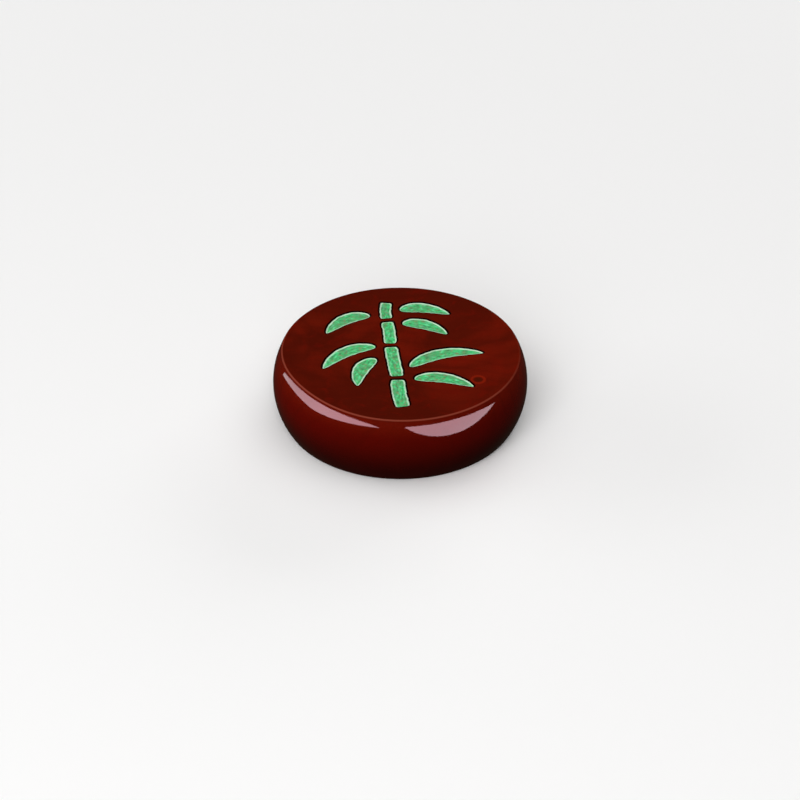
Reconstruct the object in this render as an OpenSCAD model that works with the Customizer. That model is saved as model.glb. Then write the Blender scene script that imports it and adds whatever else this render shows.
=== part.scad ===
// A drum-shaped agate game piece. A bamboo sprig is engraved into its face,
// one groove for each stroke of the brush, and every groove is filled with enamel.

/* [Disc] */
// Diameter of the disc at its widest
disc_d = 50; // [40:0.5:60]
// Height of the disc from its foot to its face
disc_h = 14.5; // [11.5:0.5:20]
// How far below the face the disc is widest
belly_drop = 6.5; // [4:0.25:9]
// How far the side draws in from the belly to the face
face_inset = 1.5; // [0.8:0.1:2.5]
// How far the side draws in from the belly to the foot
foot_inset = 2.4; // [0.8:0.1:3]
// Radius of the eased edge round the face
face_ease = 0.5; // [0.2:0.1:1]
// Radius of the eased edge round the foot
foot_ease = 0.6; // [0.2:0.1:1]

/* [Emblem] */
// Bare margin between the emblem and the edge of the face
emblem_margin = 4.5; // [3:0.5:7]
// Width of a leaf at its broadest
leaf_w = 3.3; // [2.4:0.1:4]
// Width of the lowest stalk segment at its middle
stalk_w = 2.8; // [1.8:0.1:3.2]
// How much thinner each stalk segment is than the one below it
stalk_thinning = 0.2; // [0:0.05:0.4]
// How much wider a stalk segment is at its joints than at its middle
joint_flare = 0.5; // [0:0.1:0.8]

/* [Engraving] */
// Depth of the grooves below the face
groove_depth = 0.8; // [0.5:0.1:1.5]
// How far the enamel lies below the face
enamel_recess = 0.25; // [0.05:0.05:0.4]

/* [Hidden] */
$fn = 96;
belly_r = disc_d / 2;
belly_z = disc_h - belly_drop;
face_r = belly_r - face_inset;
foot_r = belly_r - foot_inset;
emblem_r = face_r - emblem_margin;
groove_floor_z = disc_h - groove_depth;
enamel_h = groove_depth - enamel_recess;
// A cut runs this far past the surface that it opens
overrun = 1;
// Stations along a stroke, closer together towards its ends
stations = 12;

// Strokes of the sprig: a name, then the start, bend and end of the brush's path.
// The points are in emblem radii from the middle of the face, with +Y towards the sprig's top.
stalks = [
    ["stalk_foot_enamel", [-0.32, -0.92], [-0.29, -0.70], [-0.20, -0.45]],
    ["stalk_middle_enamel", [-0.18, -0.38], [-0.12, -0.12], [-0.05, 0.14]],
    ["stalk_upper_enamel", [-0.03, 0.21], [0.04, 0.40], [0.08, 0.59]],
    ["stalk_tip_enamel", [0.10, 0.66], [0.13, 0.80], [0.20, 0.93]],
];
leaves = [
    ["leaf_foot_right_enamel", [-0.03, -0.50], [0.26, -0.48], [0.48, -0.84]],
    ["leaf_low_right_enamel", [0.01, -0.27], [0.38, -0.04], [0.80, -0.30]],
    ["leaf_low_left_enamel", [-0.27, -0.02], [-0.50, -0.04], [-0.62, -0.40]],
    ["leaf_mid_left_enamel", [-0.20, 0.20], [-0.50, 0.34], [-0.84, 0.02]],
    ["leaf_mid_right_enamel", [0.22, 0.50], [0.44, 0.50], [0.58, 0.16]],
    ["leaf_crown_left_enamel", [-0.05, 0.76], [-0.28, 0.90], [-0.58, 0.62]],
    ["leaf_crown_right_enamel", [0.29, 0.74], [0.50, 0.82], [0.74, 0.50]],
];
// How bluntly the brush starts and lifts off: 0 is square and 1 is a straight taper
stalk_ends = [0.12, 0.12];
leaf_ends = [0.5, 0.65];

function stroke_path(stroke) = [for (k = [1:3]) stroke[k] * emblem_r];
function station(i) = (1 - cos(180 * i / stations)) / 2;
function along(path, t) = (1 - t) * (1 - t) * path[0] + 2 * t * (1 - t) * path[1] + t * t * path[2];
function heading(path, t) = (1 - t) * (path[1] - path[0]) + t * (path[2] - path[1]);
function across(path, t) = let (d = heading(path, t)) [-d.y, d.x] / norm(d);

// Share of the brush's width that touches down at station t, 1 at its broadest
function press(t, ends) =
    let (broadest = ends[0] / (ends[0] + ends[1]))
    pow(t / broadest, ends[0]) * pow((1 - t) / (1 - broadest), ends[1]);

// Closed outline of a stroke: up its left side and back down its right side
function outline(path, ends, width, flare) =
    let (half = [for (i = [0:stations])
        let (t = station(i))
        press(t, ends) * (width + flare * pow(2 * t - 1, 2)) / 2])
    concat(
        [for (i = [0:stations]) along(path, station(i)) + half[i] * across(path, station(i))],
        [for (i = [stations - 1:-1:1]) along(path, station(i)) - half[i] * across(path, station(i))]
    );

// One stalk segment's outline, counted from the foot of the sprig
module stalk_outline(k)
    polygon(outline(stroke_path(stalks[k]), stalk_ends, stalk_w - k * stalk_thinning, joint_flare));

// One leaf's outline
module leaf_outline(k)
    polygon(outline(stroke_path(leaves[k]), leaf_ends, leaf_w, 0));

// Half of the disc's profile, from the belly up to a flat: an arc from the belly to the corner,
// and a small arc that eases the corner, tangent to the flat and to the side
module half_profile(corner_r, height, ease) {
    inset = belly_r - corner_r;
    arc_r = (height * height + inset * inset) / (2 * inset);
    arc_x = belly_r - arc_r;
    core_r = (max(0, arc_x) + corner_r) / 2;
    ease_x = arc_x + sqrt(pow(arc_r - ease, 2) - pow(height - ease, 2));
    ease_c = [ease_x, height - ease];
    ease_out = (ease_c - [arc_x, 0]) / norm(ease_c - [arc_x, 0]);
    difference() {
        union() {
            square([core_r, height]);
            intersection() {
                translate([arc_x, 0]) circle(r = arc_r);
                translate([max(0, arc_x), 0]) square([belly_r, height]);
            }
        }
        difference() {
            polygon([
                ease_c,
                ease_c + [0, ease + overrun],
                ease_c + [ease + overrun, ease + overrun],
                ease_c + (ease + overrun) * ease_out,
            ]);
            translate(ease_c) circle(r = ease);
        }
    }
}

// The polished stone, turned to a drum shape, with the grooves cut into its face
module agate_disc()
    color([0.36, 0.07, 0.02])
    difference() {
        rotate_extrude()
            translate([0, belly_z]) {
                half_profile(face_r, belly_drop, face_ease);
                mirror([0, 1]) half_profile(foot_r, belly_z, foot_ease);
            }
        translate([0, 0, groove_floor_z])
            linear_extrude(groove_depth + overrun) {
                for (k = [0:len(stalks) - 1]) stalk_outline(k);
                for (k = [0:len(leaves) - 1]) leaf_outline(k);
            }
    }

// The enamel that lies in one groove
module enamel()
    color([0.37, 0.72, 0.48])
    translate([0, 0, groove_floor_z])
    linear_extrude(enamel_h) children();

agate_disc();
for (k = [0:len(stalks) - 1])
    enamel() stalk_outline(k);
for (k = [0:len(leaves) - 1])
    enamel() leaf_outline(k);
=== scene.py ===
import bpy
import numpy as np
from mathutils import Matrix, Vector
from mathutils.geometry import delaunay_2d_cdt


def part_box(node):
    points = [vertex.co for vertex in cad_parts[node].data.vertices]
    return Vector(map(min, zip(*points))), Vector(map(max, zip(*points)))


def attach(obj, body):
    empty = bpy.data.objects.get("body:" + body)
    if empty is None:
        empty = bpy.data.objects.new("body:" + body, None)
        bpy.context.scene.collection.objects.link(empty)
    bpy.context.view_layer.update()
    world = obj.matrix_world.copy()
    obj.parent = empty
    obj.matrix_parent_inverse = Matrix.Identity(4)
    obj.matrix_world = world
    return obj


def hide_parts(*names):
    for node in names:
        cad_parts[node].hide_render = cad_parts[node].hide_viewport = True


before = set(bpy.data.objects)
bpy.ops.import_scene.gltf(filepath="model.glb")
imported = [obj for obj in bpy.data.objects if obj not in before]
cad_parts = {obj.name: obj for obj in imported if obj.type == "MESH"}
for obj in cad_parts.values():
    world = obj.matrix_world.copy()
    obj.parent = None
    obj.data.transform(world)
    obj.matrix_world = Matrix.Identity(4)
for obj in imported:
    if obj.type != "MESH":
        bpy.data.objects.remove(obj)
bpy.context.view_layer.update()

# Stone disc
# A drum of red agate, ground round, engraved and then polished all over. It stands on a flat foot, its
# side swells to a belly, and its flat face has one shallow groove for each stroke of a bamboo sprig.
MM = 0.001
DISC_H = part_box("agate_disc")[1].z
BELLY_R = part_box("agate_disc")[1].x
BELLY_DROP = 6.5 * MM
FACE_INSET = 1.5 * MM
FOOT_INSET = 2.4 * MM
# The grinder's hand took a little more off the upper side about one azimuth, in degrees
GROUND_IN = 1.15 * MM
GROUND_AZIMUTH = -73.0
GROUND_SPREAD = 32.0
FACE_EASE = 0.5 * MM
FOOT_EASE = 0.6 * MM
SIDE_STEPS = 24
EASE_STEPS = 10
TURN_STEPS = 288

EMBLEM_MARGIN = 4.5 * MM
EMBLEM_R = BELLY_R - FACE_INSET - EMBLEM_MARGIN
STALK_W = 2.8 * MM
STALK_THINNING = 0.2 * MM
JOINT_FLARE = 0.5 * MM
LEAF_W = 3.3 * MM
STALK_ENDS = (0.12, 0.12)
LEAF_ENDS = (0.5, 0.65)
STATIONS = 97
GROOVE_DEPTH = 0.8 * MM
LIP_R = 0.28 * MM
LIP_STEPS = 6
# Share of painted shade where a groove's lip leaves the face; down the lip, wall and floor it is full
LIP_PAINTED_SHADE = 0.9
# Waves of the engraver's hand: radians for each millimetre, shift in phases of the hand, and strength
SWAY = ((1.9, 1, 1.0), (4.3, 3, 0.6))
SPREAD = ((2.6, 2, 1.0), (5.1, 5, 0.6))
WOBBLE = 0.05 * MM
# A flat hem round the face and each groove keeps the rounded edges' shading off the flat face
FACE_HEM = 0.03 * MM
GROOVE_HEM = 0.2 * MM
# Kinds of surface on the stone, in the order of its materials: polished; the grooves, under a dark
# sheet of painted shade; and the dull eased edge, which carries a painted highlight
POLISHED, SHADE_PAINTED, DULL_EDGE = range(3)
# The triangulation's setting that fills the hull of all points, and the millimetres at which points merge
FILLED_HULL = 0
MERGE_MM = 1e-6

# Start, bend and end of each stroke, in emblem radii from the middle of the face
STALKS = {
    "stalk_foot": ((-0.32, -0.92), (-0.29, -0.70), (-0.20, -0.45)),
    "stalk_middle": ((-0.18, -0.38), (-0.12, -0.12), (-0.05, 0.14)),
    "stalk_upper": ((-0.03, 0.21), (0.04, 0.40), (0.08, 0.59)),
    "stalk_tip": ((0.10, 0.66), (0.13, 0.80), (0.20, 0.93)),
}
LEAVES = {
    "leaf_foot_right": ((-0.03, -0.50), (0.26, -0.48), (0.48, -0.84)),
    "leaf_low_right": ((0.01, -0.27), (0.38, -0.04), (0.80, -0.30)),
    "leaf_low_left": ((-0.27, -0.02), (-0.50, -0.04), (-0.62, -0.40)),
    "leaf_mid_left": ((-0.20, 0.20), (-0.50, 0.34), (-0.84, 0.02)),
    "leaf_mid_right": ((0.22, 0.50), (0.44, 0.50), (0.58, 0.16)),
    "leaf_crown_left": ((-0.05, 0.76), (-0.28, 0.90), (-0.58, 0.62)),
    "leaf_crown_right": ((0.29, 0.74), (0.50, 0.82), (0.74, 0.50)),
}


def face_inset(azimuth):
    """How far the side draws in from the belly to the face at an azimuth, in degrees from -Y towards +X:
    the same all round, but for a Gaussian hump where more was ground away."""
    return FACE_INSET + GROUND_IN * np.exp(-((azimuth - GROUND_AZIMUTH) / GROUND_SPREAD) ** 2)


def half_side(height, inset, ease):
    """Radius of one half of the side, and its height from the belly, for each inset. A large arc leaves
    the belly upright and draws in by the inset over the height. A small arc, tangent to it, turns into
    the flat, where a narrow hem follows."""
    arc_r = (height ** 2 + inset ** 2) / (2 * inset)
    arc_x = BELLY_R - arc_r
    ease_x = arc_x + np.sqrt((arc_r - ease) ** 2 - (height - ease) ** 2)
    meet = np.arctan2(height - ease, ease_x - arc_x)
    side = np.linspace(0, meet, SIDE_STEPS)
    corner = np.linspace(meet, np.pi / 2, EASE_STEPS)[1:]
    radius = [arc_x + arc_r * np.cos(side), ease_x + ease * np.cos(corner), [ease_x - FACE_HEM]]
    rise = [arc_r * np.sin(side), height - ease + ease * np.sin(corner), [np.full_like(ease_x, height)]]
    return np.concatenate(radius), np.concatenate(rise)


def swell(t, ends):
    """A hump over t from 0 to 1: t^a (1 - t)^b, scaled to 1 at its highest. Small powers give blunt
    ends."""
    highest = ends[0] / sum(ends)
    return (t / highest) ** ends[0] * ((1 - t) / (1 - highest)) ** ends[1]


def hand_waves(waves, mm, hand):
    """Sum of sines along a stroke, each shifted by its own multiple of the hand's phase."""
    return sum(strength * np.sin(rate * mm + shift * hand) for rate, shift, strength in waves)


def brush_path(points, ends, width, flare, hand):
    """Stations of a brush stroke on the face: its centreline, a quadratic Bezier curve; the unit
    direction across it; and its half width, a swell that reaches half the width at its broadest, with
    the flare added towards both ends. Stations crowd towards the ends as a cosine does. The waves of the
    engraver's hand push the centreline about and vary the width."""
    start, bend, end = np.array(points) * EMBLEM_R
    t = (1 - np.cos(np.linspace(0, np.pi, STATIONS)))[:, None] / 2
    centre = (1 - t) ** 2 * start + 2 * t * (1 - t) * bend + t ** 2 * end
    heading = (1 - t) * (bend - start) + t * (end - bend)
    across = heading[:, ::-1] * (-1, 1) / np.linalg.norm(heading, axis=1, keepdims=True)
    press = swell(t, ends)
    mm = t * np.linalg.norm(end - start) / MM
    sway = press * WOBBLE * hand_waves(SWAY, mm, hand) / 2
    half = press * (width + flare * (2 * t - 1) ** 2 + WOBBLE * hand_waves(SPREAD, mm, hand)) / 2
    return centre + across * sway, across, half


def grown(outline, offset):
    """A closed outline moved outwards by the offset, along the normals of its own chords."""
    chord = np.roll(outline, -1, 0) - np.roll(outline, 1, 0)
    normal = chord[:, ::-1] * (1, -1) / np.linalg.norm(chord, axis=1, keepdims=True)
    return outline + offset * normal


def inside(outline, points):
    """Which points lie in a closed outline: those whose ray along +X crosses it an odd number of
    times."""
    x, y = points[:, :1], points[:, 1:]
    x0, y0 = outline.T
    x1, y1 = np.roll(outline, -1, 0).T
    spans = (y0 > y) != (y1 > y)
    meets = x0 + (y - y0) * (x1 - x0) / np.where(y1 == y0, 1, y1 - y0)
    return (spans & (x < meets)).sum(1) % 2 == 1


def ring_quads(first, rings, count):
    """Quads between successive closed rings of points, as rows of four vertex numbers."""
    number = first + np.arange(rings * count).reshape(rings, count)
    beside = np.roll(number, -1, 1)
    return np.stack([number[:-1], beside[:-1], beside[1:], number[1:]], -1).reshape(-1, 4)


def make_piece(name, points, faces, **values):
    """A smooth-shaded mesh object at the origin. The named values, one for each point, become its
    attributes."""
    mesh = bpy.data.meshes.new(name)
    mesh.from_pydata(points.tolist(), [], faces)
    mesh.update()
    mesh.polygons.foreach_set("use_smooth", np.ones(len(mesh.polygons), bool))
    for label, value in values.items():
        mesh.attributes.new(label, "FLOAT", "POINT").data.foreach_set("value", value)
    piece = bpy.data.objects.new(name, mesh)
    bpy.context.scene.collection.objects.link(piece)
    return piece


strokes = {
    name: brush_path(path, STALK_ENDS, STALK_W - k * STALK_THINNING, JOINT_FLARE, k)
    for k, (name, path) in enumerate(STALKS.items())
}
strokes.update({
    name: brush_path(path, LEAF_ENDS, LEAF_W, 0, k + 0.5)
    for k, (name, path) in enumerate(LEAVES.items())
})
outlines = {
    name: np.concatenate([centre - half * across, (centre + half * across)[-2:0:-1]])
    for name, (centre, across, half) in strokes.items()
}

# The drum is a stack of rings, from the foot up to the face
azimuth = np.linspace(-180, 180, TURN_STEPS, endpoint=False)
turn = np.radians(azimuth)
upper_r, upper_rise = half_side(BELLY_DROP, face_inset(azimuth), FACE_EASE)
lower_r, lower_rise = half_side(DISC_H - BELLY_DROP, np.full(TURN_STEPS, FOOT_INSET), FOOT_EASE)
side_r = np.concatenate([lower_r[::-1], upper_r[1:]])
side_z = DISC_H - BELLY_DROP + np.concatenate([-lower_rise[::-1], upper_rise[1:]])
drum = np.stack([side_r * np.sin(turn), -side_r * np.cos(turn), side_z], -1).reshape(-1, 3)
drum_quads = ring_quads(0, len(side_r), TURN_STEPS).tolist()
foot = list(range(TURN_STEPS))[::-1]
rim = np.arange(len(drum) - TURN_STEPS, len(drum))
# Quads of the eased edge and its hem, which get the dull material that carries the painted highlight
edge_quads = EASE_STEPS * TURN_STEPS
disc_points = [drum]
disc_faces = drum_quads + [foot]
surface = [POLISHED] * (len(drum_quads) - edge_quads) + [DULL_EDGE] * edge_quads + [POLISHED]
# Share of painted shade at each point of the stone; none on the drum
soot = [np.zeros(len(drum))]

# The lip of a groove rolls over from the face into an upright wall, which ends at a flat floor
lip = np.linspace(0, np.pi / 2, LIP_STEPS)
groove_offset = np.concatenate([[LIP_R + GROOVE_HEM], LIP_R * (1 - np.sin(lip)), [0]])
groove_z = np.concatenate([[DISC_H], DISC_H - LIP_R * (1 - np.cos(lip)), [DISC_H - GROOVE_DEPTH]])
# Painted shade at each ring: none on the hem, most at the lip's edge, full down the lip, wall and floor
groove_soot = np.concatenate([[0, LIP_PAINTED_SHADE], np.ones(LIP_STEPS)])
loops = [rim]
first = len(drum)
for outline in outlines.values():
    count = len(outline)
    for offset, z in zip(groove_offset, groove_z):
        disc_points.append(np.column_stack([grown(outline, offset), np.full(count, z)]))
    soot.append(np.repeat(groove_soot, count))
    walls = ring_quads(first, len(groove_z), count).tolist()
    disc_faces += walls
    surface += [POLISHED] * count + [SHADE_PAINTED] * (len(walls) - count)
    loops.append(np.arange(first, first + count))
    first += len(groove_z) * count
    disc_faces.append(list(range(first - count, first)))
    surface.append(SHADE_PAINTED)
disc_points = np.concatenate(disc_points)

# The flat of the face lies between the rim and the grooves, triangulated without points of its own
flat = np.concatenate(loops)
loop_ends = np.cumsum([len(loop) for loop in loops])[:-1]
edges = np.concatenate([
    np.stack([number, np.roll(number, -1)], 1) for number in np.split(np.arange(len(flat)), loop_ends)])
flat_mm = disc_points[flat, :2] / MM
triangles = np.array(delaunay_2d_cdt(
    [Vector(p) for p in flat_mm], edges.tolist(), [], FILLED_HULL, MERGE_MM)[2])
middles = flat_mm[triangles].mean(1)
bare = ~np.any([inside(flat_mm[np.isin(flat, loop)], middles) for loop in loops[1:]], axis=0)
disc_faces += flat[triangles[bare]].tolist()
surface += [POLISHED] * (len(disc_faces) - len(surface))
disc = make_piece("polished_agate_disc", disc_points, disc_faces, soot=np.concatenate(soot))
disc.data.polygons.foreach_set("material_index", surface)


class Shade:
    """A socket in a material's node tree. Arithmetic on it adds Math nodes."""

    # Where a Mix node keeps its factor, its two colours and the mixed one
    FACTOR, COLOUR_A, COLOUR_B, MIXED = 0, 6, 7, 2

    def __init__(self, tree, socket=None):
        self.tree = tree
        self.socket = socket

    def node(self, kind, settings=None, sockets=None, output=0):
        """Adds a node, applies its settings, fills its sockets and gives back one of its outputs."""
        made = self.tree.nodes.new(kind)
        for name, value in (settings or {}).items():
            setattr(made, name, value)
        for name, value in (sockets or {}).items():
            if isinstance(value, Shade):
                self.tree.links.new(value.socket, made.inputs[name])
            else:
                made.inputs[name].default_value = value
        return Shade(self.tree, made.outputs[output])

    def math(self, operation, a, b=0.0):
        """A Math node on one or two values."""
        return self.node("ShaderNodeMath", {"operation": operation}, {0: a, 1: b})

    def __add__(self, other):
        return self.math("ADD", self, other)

    __radd__ = __add__

    def __sub__(self, other):
        return self.math("SUBTRACT", self, other)

    def __rsub__(self, other):
        return self.math("SUBTRACT", other, self)

    def __mul__(self, other):
        return self.math("MULTIPLY", self, other)

    __rmul__ = __mul__

    def __abs__(self):
        return self.math("ABSOLUTE", self)

    def sine(self):
        return self.math("SINE", self)

    def step(self, low, high):
        """0 below low and 1 above high, with a smooth rise between them. A high below low turns it
        round."""
        return self.node("ShaderNodeMapRange", {"interpolation_type": "SMOOTHSTEP"},
                         {"Value": self, "From Min": low, "From Max": high})

    def mix(self, a, b, strength=1.0):
        """Colour a where this value is 0, and where it is 1 the strength's share of colour b."""
        share = self * strength if strength < 1 else self
        return self.node("ShaderNodeMix", {"data_type": "RGBA"},
                         {Shade.FACTOR: share, Shade.COLOUR_A: a, Shade.COLOUR_B: b}, Shade.MIXED)

    def noise(self, scale, detail=3.0, distortion=0.0):
        """Fractal noise over this vector."""
        return self.node("ShaderNodeTexNoise", None, {
            "Vector": self, "Scale": scale, "Detail": detail, "Distortion": distortion})

    def measure(self, operation, other=(0, 0, 0)):
        """This vector's length, its distance from another vector, or its dot product with it."""
        return self.node("ShaderNodeVectorMath", {"operation": operation}, {0: self, 1: other}, "Value")

    def attribute(self, name):
        """The mesh's own value of that name."""
        return self.node("ShaderNodeAttribute", {"attribute_name": name}, output="Fac")


def tint(red, green, blue):
    """Linear colour of an sRGB colour given in steps of 0 to 255."""
    c = np.array([red, green, blue]) / 255
    return (*np.where(c <= 0.04045, c / 12.92, ((c + 0.055) / 1.055) ** 2.4), 1.0)


def finish_material(name, finish, **constants):
    """A material with one principled shader: its constant sockets are set and finish fills the others."""
    material = bpy.data.materials.new(name)
    material.use_nodes = True
    shader = material.node_tree.nodes["Principled BSDF"]
    for socket, value in constants.items():
        shader.inputs[socket.replace("_", " ")].default_value = value
    for socket, value in finish(Shade(material.node_tree)).items():
        material.node_tree.links.new(value.socket, shader.inputs[socket])
    return material


def millimetres(shade):
    """Object coordinates in millimetres."""
    place = shade.node("ShaderNodeTexCoord", output="Object")
    return shade.node("ShaderNodeVectorMath", {"operation": "SCALE"}, {0: place, "Scale": 1 / MM})


RIPPLE = 0.2 * MM
SMOOTHEST = 0.03
SMOOTH_SPREAD = 0.05
# Places, directions and sizes in the stone, with lengths in millimetres
FACE_Z = DISC_H / MM
EYE = (10.8, -14.2, FACE_Z)
EYE_R = 1.25
EYE_RING = (0.4, 0.1)
PUPIL_R = 0.3
LAYER_ACROSS = (0.36, 0.93, 0.0)
LAYER_WANDER = 14.0
LAYER_DEPTH = (6.0, 22.0)
LAYER_RATE = 1.9
# The paler line on the eased edge is a painted highlight, strongest towards this direction
HIGHLIGHT_TOWARDS = (-0.68, -0.73, 0.0)
HIGHLIGHT_REACH = (-12.0, 16.0)
HIGHLIGHT_LEAST = 0.25
# Depths below the face, in millimetres, between which one look of the stone gives way to another
SIDE_BEGINS = (0.05, 0.5)
# The side's painted glow, up at the face, fades over the first depths; painted shade darkens it towards
# the foot over the second
SIDE_REDDENS = (0.9, 4.5)
SIDE_DARKENS = (4.0, 12.5)
# Depths of the eased edge that carry the painted highlight
HIGHLIGHT_BEGINS = (0.001, 0.04)
HIGHLIGHT_ENDS = (0.28, 0.16)
AGATE_BODY = tint(110, 20, 5)
AGATE_DEEP = tint(77, 14, 3)
AGATE_GLOW = tint(118, 25, 7)
AGATE_VEIN = tint(74, 9, 2)
AGATE_BLUSH = tint(112, 12, 2)
# Painted glow at the top of the side, the side's own red, and painted shade at the foot
AGATE_EDGE_GLOW = tint(104, 17, 4)
AGATE_SIDE = tint(91, 7, 2)
AGATE_FOOT_SHADE = tint(48, 3, 2)
# Painted highlight on the eased edge
AGATE_RIM_HIGHLIGHT = tint(128, 56, 42)
AGATE_EYE = tint(132, 28, 8)
AGATE_PUPIL = tint(64, 18, 3)
# Painted shade for the grooves: dull black with brown patches
SHADE_BLACK = tint(7, 2, 1)
SHADE_BROWN = tint(22, 8, 4)


def agate_finish(shade):
    """Deep red stone with slow clouds, broad faint layers, a faint blush, a fine mottle and one small
    ringed eye. Its side is painted a purer red, which leaves the face browner as a painted reflection,
    with a painted glow up at the edge of the face and painted shade darkening it towards the foot. The
    eased edge carries a painted highlight, a paler line strongest towards one side. Painted shade
    darkens each groove's lip and the face beside it. Noise scales count features in a millimetre."""
    place = millimetres(shade)
    cloud = place.noise(scale=0.06, detail=4.0, distortion=0.8).step(0.35, 0.65)
    colour = cloud.mix(AGATE_DEEP, AGATE_BODY)
    glow = place.noise(scale=0.045, detail=3.0, distortion=1.2).step(0.52, 0.78)
    colour = glow.mix(colour, AGATE_GLOW, strength=0.45)
    wander = place.noise(scale=0.05, detail=2.0) * LAYER_WANDER - LAYER_WANDER / 2
    layer = place.measure("DOT_PRODUCT", LAYER_ACROSS) + wander
    colour = abs(layer).step(*LAYER_DEPTH).mix(colour, AGATE_DEEP, strength=0.9)
    blush = place.noise(scale=0.4, detail=5.0, distortion=0.6).step(0.5, 0.72)
    colour = blush.mix(colour, AGATE_BLUSH, strength=0.35)
    # The side's painted glow and painted shade; its purer red leaves the face browner, a painted
    # reflection
    below = FACE_Z - shade.node("ShaderNodeSeparateXYZ", None, {0: place}, "Z")
    side = below.step(*SIDE_REDDENS).mix(AGATE_EDGE_GLOW, AGATE_SIDE)
    side = below.step(*SIDE_DARKENS).mix(side, AGATE_FOOT_SHADE)
    colour = below.step(*SIDE_BEGINS).mix(colour, side, strength=0.85)
    vein = (layer * LAYER_RATE).sine().step(0.3, 1.0)
    colour = vein.mix(colour, AGATE_VEIN, strength=0.18)
    mottle = place.noise(scale=2.4, detail=3.0).step(0.45, 0.75)
    colour = mottle.mix(colour, AGATE_VEIN, strength=0.25)
    away = place.measure("DISTANCE", EYE)
    colour = away.step(EYE_R, PUPIL_R).mix(colour, AGATE_PUPIL, strength=0.8)
    colour = abs(away - EYE_R).step(*EYE_RING).mix(colour, AGATE_EYE, strength=0.8)
    # Painted highlight: a paler line along the eased edge, strongest towards one side
    towards = place.measure("DOT_PRODUCT", HIGHLIGHT_TOWARDS).step(*HIGHLIGHT_REACH)
    rim_highlight = below.step(*HIGHLIGHT_BEGINS) * below.step(*HIGHLIGHT_ENDS) * (towards * (1 - HIGHLIGHT_LEAST) + HIGHLIGHT_LEAST)
    colour = rim_highlight.mix(colour, AGATE_RIM_HIGHLIGHT)
    # Painted shade on each groove's lip and on the face just beside it
    colour = shade.attribute("soot").mix(colour, SHADE_BLACK)
    ripple = shade.node("ShaderNodeBump", None, {
        "Strength": 0.04, "Distance": RIPPLE, "Height": place.noise(scale=0.35, detail=2.0)}, "Normal")
    polish = place.noise(scale=0.8, detail=4.0) * SMOOTH_SPREAD + SMOOTHEST
    return {"Base Color": colour, "Roughness": polish, "Normal": ripple}


def groove_shade_finish(shade):
    """Painted shade in the grooves: a dull black sheet, with brown patches, over their rolled lips, walls
    and floors.
    """
    return {"Base Color": millimetres(shade).noise(scale=1.5).step(0.45, 0.7).mix(SHADE_BLACK, SHADE_BROWN)}


disc.data.materials.append(finish_material(
    "polished_agate", agate_finish, IOR=1.54, Specular_IOR_Level=0.35, Specular_Tint=(1, 0.6, 0.7, 1)))
# The rolled lips, walls and floors of the grooves are a dark sheet of painted shade
disc.data.materials.append(finish_material(
    "groove_painted_shade", groove_shade_finish, Roughness=1.0, Specular_IOR_Level=0.0))
# The eased edge has no gloss of its own and carries the painted highlight
disc.data.materials.append(finish_material("dull_agate_edge", agate_finish, Specular_IOR_Level=0.0))
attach(disc, "root")
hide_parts("agate_disc")

# Enamel in the grooves
# Mint green enamel paint, laid into each groove with a brush and left to cure. It clings to the groove's
# walls, so its rim stands a little higher than its middle, which dips below the face. A painted highlight
# makes the rim paler.
ENAMEL_RECESS = 0.25 * MM
RIM_RISE = 0.12 * MM
RIM_REACH = 0.22 * MM
BRUSH_RIDGE = 0.008 * MM
BRUSH_PITCH = 0.6 * MM
BRUSH_SWING = 2 * MM
GRAIN = 0.03 * MM
LANES = 29
# How often the brush's streaks and dashes change in a millimetre, across and along the stroke
STREAK_RATE = (2.6, 0.7)
DASH_RATE = (2.2, 0.9)
# Distances from the groove's wall, in millimetres: where wear sets in, and where the rim's painted
# highlight ends
WORN_FROM = (0.15, 0.6)
PALE_TO = (0.5, 0.28)
PALE_RAGGED = 0.24
# How much of its painted highlight the rim keeps where it is faintest
PALE_LEAST = 0.6
ENAMEL_GREEN = tint(64, 212, 126)
ENAMEL_DULL = tint(88, 142, 90)
ENAMEL_COOL = tint(100, 184, 150)
ENAMEL_DEEP = tint(44, 118, 66)
ENAMEL_BRIGHT = tint(120, 236, 170)
# Painted highlight on the enamel's rim
ENAMEL_RIM_HIGHLIGHT = tint(214, 240, 214)
ENAMEL_WORN = tint(140, 146, 100)


def enamel_fill(name, centre, across, half, along):
    """The section of a filled groove carried along its stroke. From wall to wall its top follows an
    exponential rise at both walls and low ridges that swing slowly along the stroke; its sides and floor
    are the groove's. At both ends the section closes to an upright line. Along is the length that the
    brush has painted so far at each station."""
    lane = np.sin(np.linspace(-np.pi / 2, np.pi / 2, LANES))
    edge = half * (1 - np.abs(lane))
    ridge = np.sin(2 * np.pi * half * lane / BRUSH_PITCH + np.sin(along / BRUSH_SWING))
    top = DISC_H - ENAMEL_RECESS + RIM_RISE * np.exp(-edge / RIM_REACH) + BRUSH_RIDGE * ridge
    lane = np.append(lane, [1, -1])
    edge = np.pad(edge, ((0, 0), (0, 2)))
    height = np.pad(top, ((0, 0), (0, 2)), constant_values=DISC_H - GROOVE_DEPTH)
    offset = half * lane
    place = centre[:, None] + offset[..., None] * across[:, None]
    points = np.concatenate([place, height[..., None]], -1).reshape(-1, 3)
    number = np.arange(len(points)).reshape(height.shape)
    number[[0, -1], :LANES] = number[[0, -1], :1]
    number[[0, -1], LANES:] = number[[0, -1], LANES:LANES + 1]
    beside = np.roll(number, -1, 1)
    quads = np.stack([number[:-1], number[1:], beside[1:], beside[:-1]], -1).reshape(-1, 4)
    used, quads = np.unique(quads, return_inverse=True)
    faces = [list(dict.fromkeys(quad)) for quad in quads.reshape(-1, 4).tolist()]
    along = np.broadcast_to(along, height.shape)
    return make_piece(name, points[used], faces, edge_mm=edge.ravel()[used] / MM,
                      along_mm=along.ravel()[used] / MM, across_mm=offset.ravel()[used] / MM)


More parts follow.
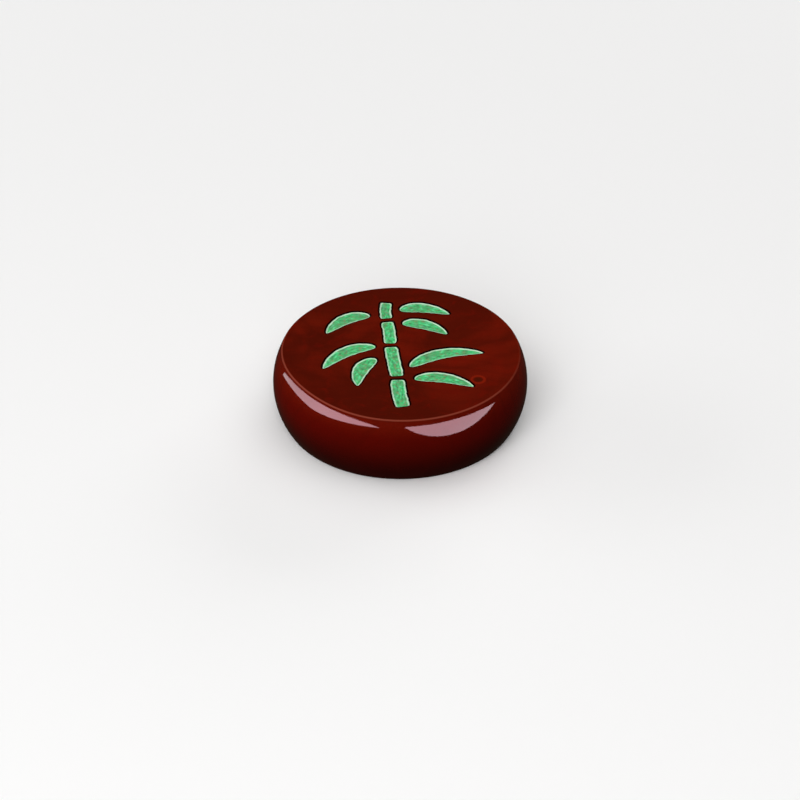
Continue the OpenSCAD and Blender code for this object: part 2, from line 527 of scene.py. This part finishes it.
def enamel_finish(shade):
    """Mint green, with streaks and short dashes along the stroke, thin and cool patches, small worn
    spots, and an uneven painted highlight along the raised rim at the groove's wall."""
    place = millimetres(shade)
    edge = shade.attribute("edge_mm")
    along = shade.attribute("along_mm")
    across = shade.attribute("across_mm")

    def brushed(rate, layer, detail):
        """Noise drawn out along the stroke. Each layer is another pattern."""
        mark = {"X": across * rate[0], "Y": along * rate[1], "Z": layer}
        return shade.node("ShaderNodeCombineXYZ", None, mark).noise(scale=1.0, detail=detail)

    streak = brushed(STREAK_RATE, layer=0.0, detail=4.0)
    colour = streak.step(0.48, 0.7).mix(ENAMEL_GREEN, ENAMEL_DULL, strength=0.6)
    cool = place.noise(scale=0.9, detail=3.0).step(0.52, 0.68)
    colour = cool.mix(colour, ENAMEL_COOL, strength=0.6)
    dash = brushed(DASH_RATE, layer=7.0, detail=2.0)
    colour = dash.step(0.52, 0.66).mix(colour, ENAMEL_DEEP, strength=0.8)
    colour = dash.step(0.48, 0.34).mix(colour, ENAMEL_BRIGHT, strength=0.8)
    thin = place.noise(scale=0.55, detail=4.0, distortion=0.5).step(0.42, 0.66)
    colour = thin.mix(colour, ENAMEL_DULL, strength=0.55)
    wear = place.noise(scale=1.4, detail=4.0).step(0.53, 0.66) * edge.step(*WORN_FROM)
    colour = wear.mix(colour, ENAMEL_WORN, strength=0.85)
    # Painted highlight along the raised rim at the groove's wall, in uneven patches
    rim = (edge + place.noise(scale=1.3, detail=3.0) * PALE_RAGGED).step(*PALE_TO)
    patches = place.noise(scale=0.7).step(0.3, 0.62) * (1 - PALE_LEAST) + PALE_LEAST
    colour = (rim * patches).mix(colour, ENAMEL_RIM_HIGHLIGHT, strength=0.9)
    speckle = place.noise(scale=6.0, detail=2.0) * 0.5
    grain = shade.node("ShaderNodeBump", None, {
        "Strength": 0.25, "Distance": GRAIN, "Height": streak + speckle}, "Normal")
    satin = streak * 0.3 + 0.3
    return {"Base Color": colour, "Roughness": satin, "Normal": grain}


enamel = finish_material("mint_enamel", enamel_finish, IOR=1.5)
# The brush's marks run on from each stroke to the next, so no two strokes are alike
painted = 0.0
for name, (centre, across, half) in strokes.items():
    steps = np.linalg.norm(np.diff(centre, axis=0, prepend=centre[:1]), axis=1)
    along = painted + np.cumsum(steps)[:, None]
    painted = along.max()
    fill = enamel_fill(name + "_fill", centre, across, half, along)
    fill.data.materials.append(enamel)
    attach(fill, "root")
    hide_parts(name + "_enamel")

# Studio
# A plain pale floor and soft lamps above, in front, beside and behind the piece. Its polish mirrors three
# glowing cards that stand close to its side. The camera looks down on the face through a long lens.
FLOOR_SIDE = 8.0
FLOOR_COLOUR = tint(248, 248, 248)
FLOOR_FADE = (0.1, 0.5)
BLACK = (0.0, 0.0, 0.0, 1.0)
WHITE = (1.0, 1.0, 1.0, 1.0)
GLOOM = (0.025, 0.02, 0.015, 1.0)
CAMERA_AZIMUTH = -21.0
CAMERA_ELEVATION = 34.3
CAMERA_LENS = 254.0
CAMERA_REACH = 20.0
PIXELS_PER_MM = 5.1
FRAME_PIXELS = 800
FACE_PIXEL = (400.2, 352.7)


def bearing(azimuth, elevation):
    """Unit vector from the piece towards an azimuth, counted from -Y towards +X, and an elevation."""
    a, e = np.radians([azimuth, elevation])
    return Vector((np.sin(a) * np.cos(e), -np.cos(a) * np.cos(e), np.sin(e)))


lens = bpy.data.cameras.new("camera")
lens.lens = CAMERA_LENS
lens.clip_end = CAMERA_REACH
camera = bpy.data.objects.new("camera", lens)
back = bearing(CAMERA_AZIMUTH, CAMERA_ELEVATION)
camera.rotation_euler = (-back).to_track_quat("-Z", "Y").to_euler()
right = Vector((0, 0, 1)).cross(back).normalized()
up = back.cross(right)
metres_per_pixel = MM / PIXELS_PER_MM
frame_width = FRAME_PIXELS * metres_per_pixel
aim = (Vector((0, 0, DISC_H))
       + right * (FRAME_PIXELS / 2 - FACE_PIXEL[0]) * metres_per_pixel
       - up * (FRAME_PIXELS / 2 - FACE_PIXEL[1]) * metres_per_pixel)
camera.location = aim + back * frame_width * lens.lens / lens.sensor_width
bpy.context.scene.collection.objects.link(camera)
bpy.context.scene.camera = camera
bpy.context.scene.view_settings.view_transform = "Standard"


def floor_finish(shade):
    """Pale, and lit by the lamps near the piece. Farther off, where their light ends, it glows as
    pale."""
    far = shade.node("ShaderNodeTexCoord", output="Object").measure("LENGTH").step(*FLOOR_FADE)
    return {"Base Color": far.mix(FLOOR_COLOUR, BLACK), "Emission Color": far.mix(BLACK, FLOOR_COLOUR)}


half_floor = FLOOR_SIDE / 2
floor_corners = half_floor * np.array([[-1, -1, 0], [1, -1, 0], [1, 1, 0], [-1, 1, 0]])
floor = make_piece("floor", floor_corners, [[0, 1, 2, 3]])
floor.data.materials.append(finish_material(
    "pale_floor", floor_finish, Roughness=1.0, Specular_IOR_Level=0.0, Emission_Strength=1.0))
floor.visible_glossy = False
floor.visible_diffuse = False

LAMP_DISTANCE = 1.0


def softbox(name, azimuth, elevation, width, height, radiance):
    """A soft lamp that faces the piece and that its polish doesn't mirror."""
    lamp = bpy.data.lights.new(name, "AREA")
    lamp.shape = "RECTANGLE"
    lamp.size = width
    lamp.size_y = height
    lamp.energy = np.pi * radiance * width * height
    box = bpy.data.objects.new(name, lamp)
    away = bearing(azimuth, elevation)
    box.location = Vector((0, 0, DISC_H)) + LAMP_DISTANCE * away
    box.rotation_euler = (-away).to_track_quat("-Z", "Y").to_euler()
    box.visible_camera = False
    box.visible_glossy = False
    bpy.context.scene.collection.objects.link(box)


softbox("overhead_light", azimuth=0, elevation=90, width=2.0, height=2.0, radiance=0.85)
softbox("front_fill", azimuth=CAMERA_AZIMUTH - 15, elevation=32, width=0.8, height=0.8, radiance=3.6)
softbox("left_fill", azimuth=CAMERA_AZIMUTH - 105, elevation=10, width=0.8, height=0.4, radiance=4.0)
softbox("back_fill", azimuth=CAMERA_AZIMUTH + 150, elevation=8, width=0.8, height=0.6, radiance=4.0)

CARD_R = 40 * MM
CARD_ROWS = 9
CARD_STEPS = 65
# A small step that gives the side's slopes, in degrees and in millimetres
NUDGE = 0.01
# Each crescent of light runs from one azimuth off the camera's to another, in degrees. The card behind
# the piece is the right one turned about the axis.
RIGHT_SPAN = (2.0, 50.0)
LEFT_SPAN = (-8.0, -75.5)
BACK_TURN = 150.0
# Heights of the crescents on the upper side, and the powers of the right one's swell
RIGHT_TOP = 13.28 * MM
RIGHT_BOW = 0.17 * MM
RIGHT_BREADTH = 2.75 * MM
RIGHT_ENDS = (0.95, 1.16)
LEFT_START = 12.8 * MM
LEFT_CLIMB = 1.22 * MM
LEFT_DROOP = 0.25 * MM
LEFT_FOOT = 13.27 * MM
LEFT_SAG = 0.77 * MM
# Shares of the left crescent's length
CLIMB_RUN = 0.15
DROOP_FROM = 0.85
SAG_MIDDLE = 0.5
SAG_NEAR = 0.5
SAG_FAR = 0.25


def side_point(azimuth, height):
    """Point on the arc of the upper side at an azimuth, in degrees, and a height."""
    inset = face_inset(azimuth)
    arc_r = (BELLY_DROP ** 2 + inset ** 2) / (2 * inset)
    radius = BELLY_R - arc_r + np.sqrt(arc_r ** 2 - (height - DISC_H + BELLY_DROP) ** 2)
    turn = np.radians(azimuth)
    return np.stack([radius * np.sin(turn), -radius * np.cos(turn), height], -1)


def right_crescent(s):
    """Lowest and highest points of the right crescent, s of the way along it: the top bows up, and the
    bottom hangs below it as a swell."""
    high = RIGHT_TOP + RIGHT_BOW * swell(s, (1, 1))
    return high - RIGHT_BREADTH * swell(s, RIGHT_ENDS), high


def left_crescent(s):
    """Lowest and highest points of the left crescent, s of the way along it: the top climbs as an
    exponential and then droops as a square, and the bottom sags in a bell, steeper on its far half."""
    climb = LEFT_CLIMB * (1 - np.exp(-s / CLIMB_RUN))
    droop = LEFT_DROOP * (np.clip(s - DROOP_FROM, 0, 1) / (1 - DROOP_FROM)) ** 2
    high = LEFT_START + climb - droop
    off = np.abs(s - SAG_MIDDLE)
    bell = np.exp(-np.where(s < SAG_MIDDLE, (off / SAG_NEAR) ** 1.5, (off / SAG_FAR) ** 2))
    return np.minimum(LEFT_FOOT - LEFT_SAG * bell, high), high


def fading(s, start, slope):
    """1 up to the start, and then a straight fall."""
    return 1 - slope * np.clip(s - start, 0, 1)


def glow_finish(shade):
    """White light, dimmed by the level."""
    return {"Emission Color": shade.attribute("level").mix(BLACK, WHITE)}


def highlight_card(name, span, low, high, level, radiance, turned=0):
    """A glowing card that only the polish shows. Each of its points lies where the camera's view of a
    point on the upper side, mirrored there, is at the card's distance from the axis, so the side shows
    the card over a span of azimuths off the camera's and between a low and a high height. The level, 1 at
    full radiance, dims it for each step. A card may then be turned about the axis, by degrees."""
    azimuth = CAMERA_AZIMUTH + np.linspace(*span, CARD_STEPS)
    height = np.linspace(low, high, CARD_ROWS)
    point = side_point(azimuth, height)
    around = side_point(azimuth + NUDGE, height) - point
    upward = side_point(azimuth, height + NUDGE * MM) - point
    normal = np.cross(around, upward)
    normal /= np.linalg.norm(normal, axis=-1, keepdims=True)
    view = np.array(camera.location) - point
    view /= np.linalg.norm(view, axis=-1, keepdims=True)
    ray = 2 * (normal * view).sum(-1, keepdims=True) * normal - view
    flat_point, flat_ray = point[..., :2], ray[..., :2]
    speed = (flat_ray ** 2).sum(-1, keepdims=True)
    approach = (flat_point * flat_ray).sum(-1, keepdims=True) / speed
    beyond = (CARD_R ** 2 - (flat_point ** 2).sum(-1, keepdims=True)) / speed
    place = point + ray * (np.sqrt(approach ** 2 + beyond) - approach)
    cos, sin = np.cos(np.radians(turned)), np.sin(np.radians(turned))
    place = place @ np.array([[cos, sin, 0], [-sin, cos, 0], [0, 0, 1]])
    number = np.arange(place[..., 0].size).reshape(place.shape[:2])
    quads = np.stack([number[:-1, :-1], number[:-1, 1:], number[1:, 1:], number[1:, :-1]], -1)
    card = make_piece(
        name, place.reshape(-1, 3), quads.reshape(-1, 4).tolist(), level=np.tile(level, CARD_ROWS))
    glow = finish_material(
        name, glow_finish, Base_Color=BLACK, Specular_IOR_Level=0.0, Emission_Strength=radiance)
    glow.cycles.emission_sampling = "NONE"
    card.data.materials.append(glow)
    card.visible_camera = False
    card.visible_diffuse = False
    card.visible_shadow = False


s = np.linspace(0, 1, CARD_STEPS)
right_level = fading(s, start=0.55, slope=0.35)
left_level = fading(s, start=0.45, slope=1.1)
highlight_card("right_card", RIGHT_SPAN, *right_crescent(s), right_level, radiance=9.6)
highlight_card("left_card", LEFT_SPAN, *left_crescent(s), left_level, radiance=10.4)
highlight_card("back_card", RIGHT_SPAN, *right_crescent(s), right_level, radiance=9.6, turned=BACK_TURN)

world = bpy.data.worlds.new("studio")
world.use_nodes = True
seen = Shade(world.node_tree).node("ShaderNodeLightPath", output="Is Camera Ray")
world.node_tree.links.new(
    seen.mix(GLOOM, FLOOR_COLOUR).socket, world.node_tree.nodes["Background"].inputs["Color"])
bpy.context.scene.world = world
